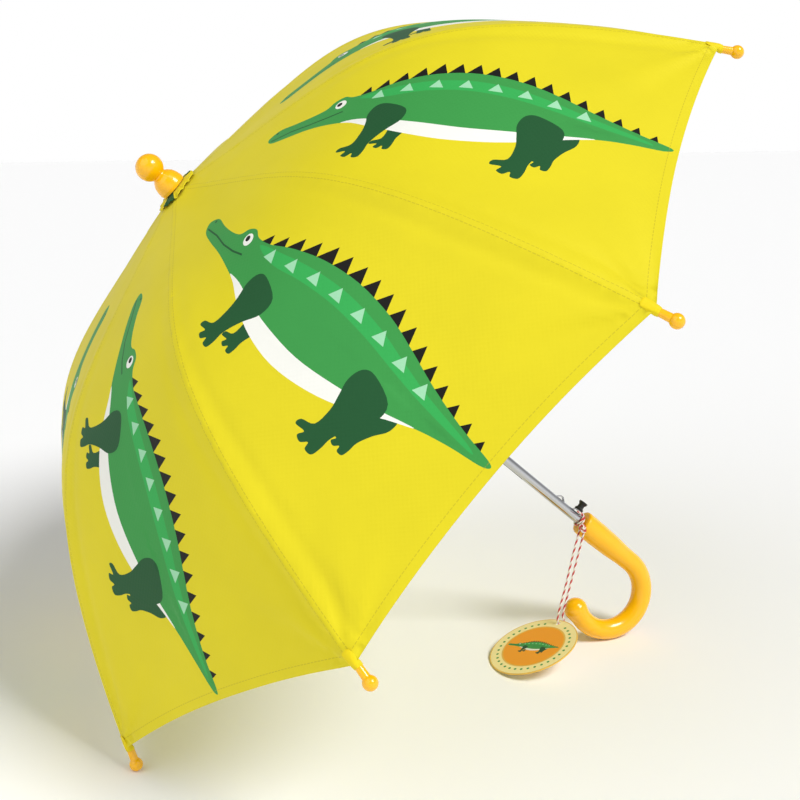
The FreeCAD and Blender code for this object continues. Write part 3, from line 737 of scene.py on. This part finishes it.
def band_on_cloth(name, u, y, low, high, k):
    """A closed band over the cloth: grids of u and y, and how far its two faces stand off."""
    top, share = on_far_half(u, y, k, high)
    bottom, _ = on_far_half(u, y, k, low)
    rings = np.concatenate([top, bottom[:, ::-1]], axis=1)
    points, faces = closed_tube(rings)
    piece = add_mesh(name, points, faces)
    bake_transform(piece)
    return piece


strap_s, strap_w = np.meshgrid(np.linspace(0, 1, 60), np.linspace(-1, 1, 17), indexing="ij")
round_end = np.sqrt(np.clip(1 - np.clip((strap_s - 0.9) / 0.1, 0, 1) ** 2, 0.02, 1))
strap_u = STRAP_ACROSS[0] + (STRAP_ACROSS[1] - STRAP_ACROSS[0]) * strap_s
strap_v = (STRAP_DOWN[0] + STRAP_DOWN[1]) / 2 + (STRAP_DOWN[1] - STRAP_DOWN[0]) / 2 * strap_w * round_end
cloth_span = CLOTH_END - CLOTH_START
strap_y = np.interp(CLOTH_START + cloth_span * strap_v, T_TABLE, RUN_TABLE)
rolled = 0.55 * MM * (1 - strap_w**6 * 0.7) * (1 - np.clip((strap_s - 0.97) / 0.03, 0, 1) * 0.6)
strap_lift = 1.1 * MM + 0.5 * MM * strap_s**2 + 0.15 * MM * np.sin(18 * strap_s)
strap = band_on_cloth("strap", strap_u, strap_y, strap_lift - rolled, strap_lift + rolled, STRAP_PANEL)
one_ink(strap, YELLOW)
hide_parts("closure_strap")
print("strap triangles", len(strap.data.polygons))

# %% [markdown]
# The snap is a small pressed cap. Its rings carry a profile of radius and height round a spot on the
# strap.
# %% Snap
SNAP_U = 0.42
SNAP_AT = [0, 0.15, 0.5, 0.62, 0.8, 1]
snap_turn = np.linspace(0, 2 * np.pi, 28, endpoint=False)
snap_s, snap_a = np.meshgrid(np.linspace(0, 1, 12), snap_turn, indexing="ij")
snap_r = np.interp(snap_s, SNAP_AT, [4.2, 4.3, 3.6, 3.2, 2.0, 0.1]) * MM
snap_h = np.interp(snap_s, SNAP_AT, [1.2, 2.0, 2.3, 2.05, 2.0, 1.95]) * MM
snap_y = float(np.interp(CLOTH_START + cloth_span * sum(STRAP_DOWN) / 2, T_TABLE, RUN_TABLE))
snap_u = SNAP_U + snap_r * np.cos(snap_a) / float(chord_at(snap_y))
snap_rings, _ = on_far_half(snap_u, snap_y + snap_r * np.sin(snap_a), STRAP_PANEL, snap_h)
snap_points, snap_faces = closed_tube(snap_rings)
snap = add_mesh("strap_snap", snap_points, snap_faces)
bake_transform(snap)
print("snap triangles", len(snap.data.polygons))

# %% [markdown]
# The card tag is a die-cut round of coated board, and the frame's own solid has its true shape, hole
# and all. Its rim is printed by a material. The orange middle with its small crocodile is a thin
# printed disc on top, cut like the canopy's print, because a material can't hold such outlines.
# %% Hang tag
TAG_CENTRE = np.array([124.9, -38.5, 14.0])
TAG_NORMAL = np.array([-0.353, 0.009, 0.936])
TAG_TOWARDS_HOLE = np.array([0.816, 0.492, 0.303])
TAG_THICKNESS = 1.0
CREAM, ORANGE, GOLD = linear(252, 236, 172), linear(250, 164, 26), linear(236, 190, 80)
PRINT_SCALE, PRINT_TURN = 0.165, 1.75
DECAL_GAP, DECAL_THICKNESS = 0.02, 0.06
PRINT_MIDDLE = np.array([0, 148])
small = [((shape - PRINT_MIDDLE) * [PRINT_SCALE, -PRINT_SCALE], ink) for shape, ink in crocodile()]
decal_points, decal_faces, decal_ink = cut_cloth(disc(0, 0, 26.0, 90), small, 2.6, base=ORANGE)
away = np.cross(TAG_TOWARDS_HOLE, TAG_NORMAL)
cos_turn, sin_turn = math.cos(PRINT_TURN), math.sin(PRINT_TURN)
turned_print = decal_points @ np.array([[cos_turn, sin_turn], [-sin_turn, cos_turn]])
flat3 = TAG_CENTRE + turned_print[:, :1] * away + turned_print[:, 1:] * TAG_TOWARDS_HOLE
low_face = flat3 + TAG_NORMAL * (TAG_THICKNESS / 2 + DECAL_GAP)
decal_faces, walls, _ = face_up(low_face, decal_faces, TAG_NORMAL)
decal = add_mesh("tag_print", np.vstack([low_face + TAG_NORMAL * DECAL_THICKNESS, low_face]) * MM,
                 np.vstack([decal_faces, decal_faces[:, ::-1] + len(low_face), walls]), smooth=False)
decal_layer = decal.data.color_attributes.new("print", "FLOAT_COLOR", "CORNER")
all_ink = np.vstack([decal_ink, decal_ink, np.tile(ORANGE, (len(walls), 1))])
decal_layer.data.foreach_set("color", np.repeat(all_ink, 3, axis=0).ravel())
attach(decal, "stick")
print("tag print triangles", len(decal.data.polygons))

# %% [markdown]
# ## Finishes
# Effects that several materials share are node groups that give masks or heights. The shader
# itself stays in each material, where its plain numbers are easy to find and to change.
# %% Node helpers


def new_group(name, inputs, outputs):
    """A shader node group with the named sockets, as (tree, input node, output node)."""
    tree = bpy.data.node_groups.new(name, "ShaderNodeTree")
    for socket, kind, value in inputs:
        made = tree.interface.new_socket(socket, in_out="INPUT", socket_type=kind)
        if value is not None:
            made.default_value = value
    for socket, kind in outputs:
        tree.interface.new_socket(socket, in_out="OUTPUT", socket_type=kind)
    return tree, tree.nodes.new("NodeGroupInput"), tree.nodes.new("NodeGroupOutput")


def put(tree, socket, value):
    """Sets a socket to a value, or links it if the value is another socket."""
    if isinstance(value, bpy.types.NodeSocket):
        tree.links.new(value, socket)
    else:
        socket.default_value = value


def calc(tree, operation, *values):
    """A math node's output."""
    node = tree.nodes.new("ShaderNodeMath")
    node.operation = operation
    for socket, value in zip(node.inputs, values):
        put(tree, socket, value)
    return node.outputs[0]


def add_node(tree, kind, output=0, **values):
    """A node with its inputs set or linked by name; returns one of its outputs."""
    node = tree.nodes.new(kind)
    for key, value in values.items():
        put(tree, node.inputs[key.replace("_", " ")], value)
    return node.outputs[output]


def mix_colour(tree, factor, a, b, way="MIX"):
    """Two colours mixed by a factor."""
    node = tree.nodes.new("ShaderNodeMix")
    node.data_type, node.blend_type = "RGBA", way
    put(tree, node.inputs[0], factor)
    put(tree, node.inputs[6], a)
    put(tree, node.inputs[7], b)
    return node.outputs[2]


def use_group(tree, group, **values):
    """A group node in a material, with its inputs set."""
    node = tree.nodes.new("ShaderNodeGroup")
    node.node_tree = group
    for key, value in values.items():
        put(tree, node.inputs[key], value)
    return node.outputs


# %% Effect groups
# weave: height = sin(x / pitch) * sin(y / pitch) threads, with the slubs of a real yarn
weave_group, g_in, g_out = new_group(
    "weave", [("UV", "NodeSocketVector", None), ("Pitch", "NodeSocketFloat", 0.0006)],
    [("Height", "NodeSocketFloat")])
split = weave_group.nodes.new("ShaderNodeSeparateXYZ")
weave_group.links.new(g_in.outputs["UV"], split.inputs[0])
phases = [calc(weave_group, "DIVIDE", split.outputs[i], g_in.outputs["Pitch"]) for i in (0, 1)]
threads = [calc(weave_group, "SINE", phase) for phase in phases]
slub = add_node(weave_group, "ShaderNodeTexNoise", Vector=g_in.outputs["UV"], Scale=420.0, Detail=3.0)
height = calc(weave_group, "MULTIPLY_ADD", slub, 0.8, calc(weave_group, "MULTIPLY", *threads))
weave_group.links.new(height, g_out.inputs[0])

# stitches: a dashed line at one distance from an edge
stitch_group, g_in, g_out = new_group(
    "stitches", [("Distance", "NodeSocketFloat", 0.0), ("Run", "NodeSocketFloat", 0.0),
                 ("Offset", "NodeSocketFloat", 0.004), ("Length", "NodeSocketFloat", 0.003)],
    [("Mask", "NodeSocketFloat")])
off_line = calc(stitch_group, "SUBTRACT", g_in.outputs["Distance"], g_in.outputs["Offset"])
on_line = calc(stitch_group, "LESS_THAN", calc(stitch_group, "ABSOLUTE", off_line), 0.00028)
beat = calc(stitch_group, "FRACT", calc(stitch_group, "DIVIDE", g_in.outputs["Run"], g_in.outputs["Length"]))
thread_shows = calc(stitch_group, "LESS_THAN", beat, 0.72)
stitch_group.links.new(calc(stitch_group, "MULTIPLY", on_line, thread_shows), g_out.inputs[0])

# wear: a soft mask of handling marks, from coarse and fine noise
wear_group, g_in, g_out = new_group(
    "wear", [("Vector", "NodeSocketVector", None), ("Scale", "NodeSocketFloat", 60.0)],
    [("Mask", "NodeSocketFloat"), ("Fine", "NodeSocketFloat")])
where, wear_scale = g_in.outputs["Vector"], g_in.outputs["Scale"]
fine_scale = calc(wear_group, "MULTIPLY", wear_scale, 14.0)
coarse = add_node(wear_group, "ShaderNodeTexNoise", Vector=where, Scale=wear_scale, Detail=4.0)
fine = add_node(wear_group, "ShaderNodeTexNoise", Vector=where, Scale=fine_scale, Detail=2.0)
wear_group.links.new(coarse, g_out.inputs[0])
wear_group.links.new(fine, g_out.inputs[1])
print("effect groups", [group.name for group in (weave_group, stitch_group, wear_group)])


# %% Materials


def new_material(name):
    """A material, its tree and its shader."""
    material = bpy.data.materials.new(name)
    material.use_nodes = True
    return material, material.node_tree, material.node_tree.nodes["Principled BSDF"]


def surface_bump(tree, shader, strength, distance, height):
    """Feeds a height into the shader's normal through a bump node."""
    bumped = add_node(tree, "ShaderNodeBump", Strength=strength, Distance=distance, Height=height)
    put(tree, shader.inputs["Normal"], bumped)


def simple_material(name, colour, roughness, metallic=0.0, coat=0.0, scale=60.0, bump=0.04, spread=0.08):
    """A solid finish with handling marks: roughness = base + spread * (noise - 0.5), and a fine grain."""
    material, tree, shader = new_material(name)
    coords = tree.nodes.new("ShaderNodeTexCoord").outputs["Object"]
    wear = use_group(tree, wear_group, Vector=coords, Scale=scale)
    put(tree, shader.inputs["Base Color"], colour)
    put(tree, shader.inputs["Metallic"], metallic)
    marks = calc(tree, "MULTIPLY_ADD", calc(tree, "SUBTRACT", wear[0], 0.5), spread, roughness)
    put(tree, shader.inputs["Roughness"], marks)
    put(tree, shader.inputs["Coat Weight"], coat)
    put(tree, shader.inputs["Coat Roughness"], 0.06)
    surface_bump(tree, shader, bump, 0.0002, wear[1])
    return material


def cloth_material(name, sewn):
    """Printed pongee: ink from the attribute, a fine weave, a soft sheen and, if sewn, its sewing lines."""
    material, tree, shader = new_material(name)
    ink = tree.nodes.new("ShaderNodeAttribute")
    ink.attribute_name = "print"
    coords = tree.nodes.new("ShaderNodeTexCoord").outputs["Object"]
    wear = use_group(tree, wear_group, Vector=coords, Scale=18.0)
    tone = calc(tree, "MULTIPLY_ADD", wear[0], 0.12, 0.94)
    grey = add_node(tree, "ShaderNodeCombineColor", Red=tone, Green=tone, Blue=tone)
    colour = mix_colour(tree, 1.0, ink.outputs["Color"], grey, "MULTIPLY")
    if sewn:
        flat = tree.nodes.new("ShaderNodeUVMap")
        flat.uv_map = "cloth"
        edges = tree.nodes.new("ShaderNodeUVMap")
        edges.uv_map = "edges"
        flat_xyz, edge_xyz = tree.nodes.new("ShaderNodeSeparateXYZ"), tree.nodes.new("ShaderNodeSeparateXYZ")
        tree.links.new(flat.outputs[0], flat_xyz.inputs[0])
        tree.links.new(edges.outputs[0], edge_xyz.inputs[0])
        across, down = flat_xyz.outputs[0], flat_xyz.outputs[1]
        from_seam, from_hem = edge_xyz.outputs[0], edge_xyz.outputs[1]
        seam = use_group(tree, stitch_group, Distance=from_seam, Run=down, Offset=0.0021)[0]
        hem = use_group(tree, stitch_group, Distance=from_hem, Run=across, Offset=0.0065)[0]
        stitch = calc(tree, "MAXIMUM", seam, hem)
        inside_mark = tree.nodes.new("ShaderNodeAttribute")
        inside_mark.attribute_name = "inside"
        back_of_print = calc(tree, "MULTIPLY", inside_mark.outputs["Fac"], 0.3)
        colour = mix_colour(tree, back_of_print, colour, linear(238, 226, 120))
        colour = mix_colour(tree, calc(tree, "MULTIPLY", stitch, 0.45), colour, linear(170, 150, 30))
        height = calc(tree, "MULTIPLY_ADD", stitch, 2.5, use_group(tree, weave_group, UV=flat.outputs[0])[0])
    else:
        height = use_group(tree, weave_group, UV=coords)[0]
    put(tree, shader.inputs["Base Color"], colour)
    put(tree, shader.inputs["Roughness"], 0.62)
    put(tree, shader.inputs["Sheen Weight"], 0.05)
    put(tree, shader.inputs["Sheen Roughness"], 0.4)
    put(tree, shader.inputs["Specular IOR Level"], 0.25)
    surface_bump(tree, shader, 0.25, 0.00008, height)
    return material


def twine_material():
    """Cotton baker's twine: white and red plies by the attribute 'tone', with short fibres along them."""
    material, tree, shader = new_material("twine")
    tone = tree.nodes.new("ShaderNodeAttribute")
    tone.attribute_name = "tone"
    coords = tree.nodes.new("ShaderNodeTexCoord").outputs["Object"]
    fibre = add_node(tree, "ShaderNodeTexNoise", Vector=coords, Scale=1600.0, Detail=3.0)
    ply = mix_colour(tree, tone.outputs["Fac"], linear(244, 240, 232), linear(204, 40, 44))
    shade = calc(tree, "MULTIPLY", fibre, 0.25)
    put(tree, shader.inputs["Base Color"], mix_colour(tree, shade, ply, linear(120, 60, 55)))
    put(tree, shader.inputs["Roughness"], 0.9)
    put(tree, shader.inputs["Sheen Weight"], 0.4)
    surface_bump(tree, shader, 0.5, 0.0002, fibre)
    return material


def board(tree, shader, colour):
    """Coated board: ink under a thin varnish, with the faint tooth of the paper."""
    coords = tree.nodes.new("ShaderNodeTexCoord").outputs["Object"]
    tooth = add_node(tree, "ShaderNodeTexNoise", Vector=coords, Scale=900.0, Detail=2.0)
    put(tree, shader.inputs["Base Color"], colour)
    put(tree, shader.inputs["Roughness"], 0.42)
    put(tree, shader.inputs["Coat Weight"], 0.1)
    surface_bump(tree, shader, 0.08, 0.0001, tooth)


def print_material():
    """The ink of the tag's small print, from its attribute."""
    material, tree, shader = new_material("tag_ink")
    ink = tree.nodes.new("ShaderNodeAttribute")
    ink.attribute_name = "print"
    board(tree, shader, ink.outputs["Color"])
    return material


DOTS, DOT_RING, DOT_RADIUS, DOTLESS_ANGLE = 34, 31.0, 1.15, 0.24
GOLD_WITHIN, GOLD_BEYOND = 27.4, 36.7


def card_material():
    """The tag's rim: cream board, gold lines and a ring of dots, by distance and angle from its middle."""
    material, tree, shader = new_material("card")
    coords = tree.nodes.new("ShaderNodeTexCoord").outputs["Object"]
    spoke = tree.nodes.new("ShaderNodeVectorMath")
    spoke.operation = "SUBTRACT"
    put(tree, spoke.inputs[0], coords)
    put(tree, spoke.inputs[1], tuple(TAG_CENTRE * MM))

    def along(direction):
        """How far a point lies from the tag's middle in a direction."""
        node = tree.nodes.new("ShaderNodeVectorMath")
        node.operation = "DOT_PRODUCT"
        put(tree, node.inputs[0], spoke.outputs[0])
        put(tree, node.inputs[1], tuple(direction))
        return node.outputs["Value"]

    x, y = along(away), along(TAG_TOWARDS_HOLE)
    far = calc(tree, "SQRT", calc(tree, "MULTIPLY_ADD", x, x, calc(tree, "MULTIPLY", y, y)))
    angle = calc(tree, "ARCTAN2", x, y)
    # dots: sqrt((radius from their circle)^2 + (arc from the nearest beat)^2) < dot radius
    turns = calc(tree, "MULTIPLY_ADD", angle, DOTS / (2 * math.pi), 0.5)
    beat = calc(tree, "SUBTRACT", calc(tree, "FRACT", turns), 0.5)
    arc = calc(tree, "MULTIPLY", beat, 2 * math.pi / DOTS * DOT_RING * MM)
    ring = calc(tree, "SUBTRACT", far, DOT_RING * MM)
    spread = calc(tree, "SQRT", calc(tree, "MULTIPLY_ADD", arc, arc, calc(tree, "MULTIPLY", ring, ring)))
    dots = calc(tree, "LESS_THAN", spread, DOT_RADIUS * MM)
    clear = calc(tree, "GREATER_THAN", calc(tree, "ABSOLUTE", angle), DOTLESS_ANGLE)
    line = calc(tree, "LESS_THAN", far, GOLD_WITHIN * MM)
    edge = calc(tree, "GREATER_THAN", far, GOLD_BEYOND * MM)
    colour = mix_colour(tree, calc(tree, "MULTIPLY", dots, clear), CREAM, GREEN)
    colour = mix_colour(tree, calc(tree, "MAXIMUM", line, edge), colour, GOLD)
    board(tree, shader, colour)
    return material


finishes = {
    "sewn": cloth_material("canopy_cloth", True),
    "cloth": cloth_material("trim_cloth", False),
    "yellow_plastic": simple_material("yellow_plastic", linear(254, 188, 0), 0.24, coat=0.25, bump=0.02),
    "black_plastic": simple_material("black_plastic", linear(24, 24, 25), 0.45, bump=0.1),
    "rib_steel": simple_material("black_enamel", linear(28, 28, 29), 0.35, coat=0.2),
    "steel": simple_material("plated_steel", linear(196, 197, 200), 0.08, metallic=1.0, spread=0.04),
    "leaf_steel": simple_material("spring_steel", linear(176, 176, 178), 0.3, metallic=1.0, scale=120.0),
    "twine": twine_material(),
    "thread": simple_material("sewing_thread", linear(214, 190, 30), 0.8, scale=300.0, bump=0.3),
    "card": card_material(),
    "print": print_material(),
}


def dress(piece, material):
    """Puts one material in every slot of a piece."""
    if not piece.material_slots:
        piece.data.materials.append(material)
    for slot in piece.material_slots:
        slot.material = material


for piece, _, _ in canopy:
    dress(piece, finishes["sewn"])
for piece in (ruffle, strap, *pockets):
    dress(piece, finishes["cloth"])
for piece in ties:
    dress(piece, finishes["thread"])
dress(snap, finishes["leaf_steel"])
dress(decal, finishes["print"])
dress(twine, finishes["twine"])
dress(knot, finishes["twine"])
slots = {part["node"]: part["material_slot"] for part in frame["record"]["subparts"]}
for name, node in frame["nodes"].items():
    if not node.hide_render:
        dress(node, finishes[slots[name]])

# %% [markdown]
# ## Stage
# A pale floor, a bright horizon and two distant soft lights, as in a studio.
# %% Floor and lights
floor_mesh = [(-4, -4, 0), (4, -4, 0), (4, 4, 0), (-4, 4, 0)]
floor = add_mesh("floor", floor_mesh, [(0, 1, 2, 3)], smooth=False)
floor_material, floor_tree, floor_shader = new_material("floor")
put(floor_tree, floor_shader.inputs["Base Color"], linear(250, 250, 250))
put(floor_tree, floor_shader.inputs["Roughness"], 0.9)
dress(floor, floor_material)

world = bpy.data.worlds.new("studio")
world.use_nodes = True
sky = world.node_tree
direction = sky.nodes.new("ShaderNodeTexCoord").outputs["Generated"]
height = sky.nodes.new("ShaderNodeSeparateXYZ")
sky.links.new(direction, height.inputs[0])
# white round the horizon, a dimmer ceiling: brightness falls from 1 to 0.18 between heights 0.12 and 0.45
ceiling = sky.nodes.new("ShaderNodeMapRange")
put(sky, ceiling.inputs[0], height.outputs[2])
for socket, value in zip(list(ceiling.inputs)[1:5], (0.12, 0.45, 1.0, 0.18)):
    socket.default_value = value
sky.links.new(ceiling.outputs[0], sky.nodes["Background"].inputs[1])
sky.nodes["Background"].inputs[0].default_value = (1.0, 1.0, 1.0, 1.0)
bpy.context.scene.world = world
bpy.context.scene.view_settings.view_transform = "Standard"


def soft_light(name, at, strength, spread):
    """A distant light as wide as a studio panel, shining from a direction towards the middle."""
    data = bpy.data.lights.new(name, "SUN")
    data.energy, data.angle = strength, math.radians(spread)
    lamp = bpy.data.objects.new(name, data)
    lamp.location = at
    lamp.rotation_euler = (-Vector(at)).to_track_quat("-Z", "Y").to_euler()
    bpy.context.scene.collection.objects.link(lamp)


soft_light("key", (1.2, -1.5, 2.2), 2.45, 22)
soft_light("fill", (-1.8, -0.8, 2.0), 0.85, 60)
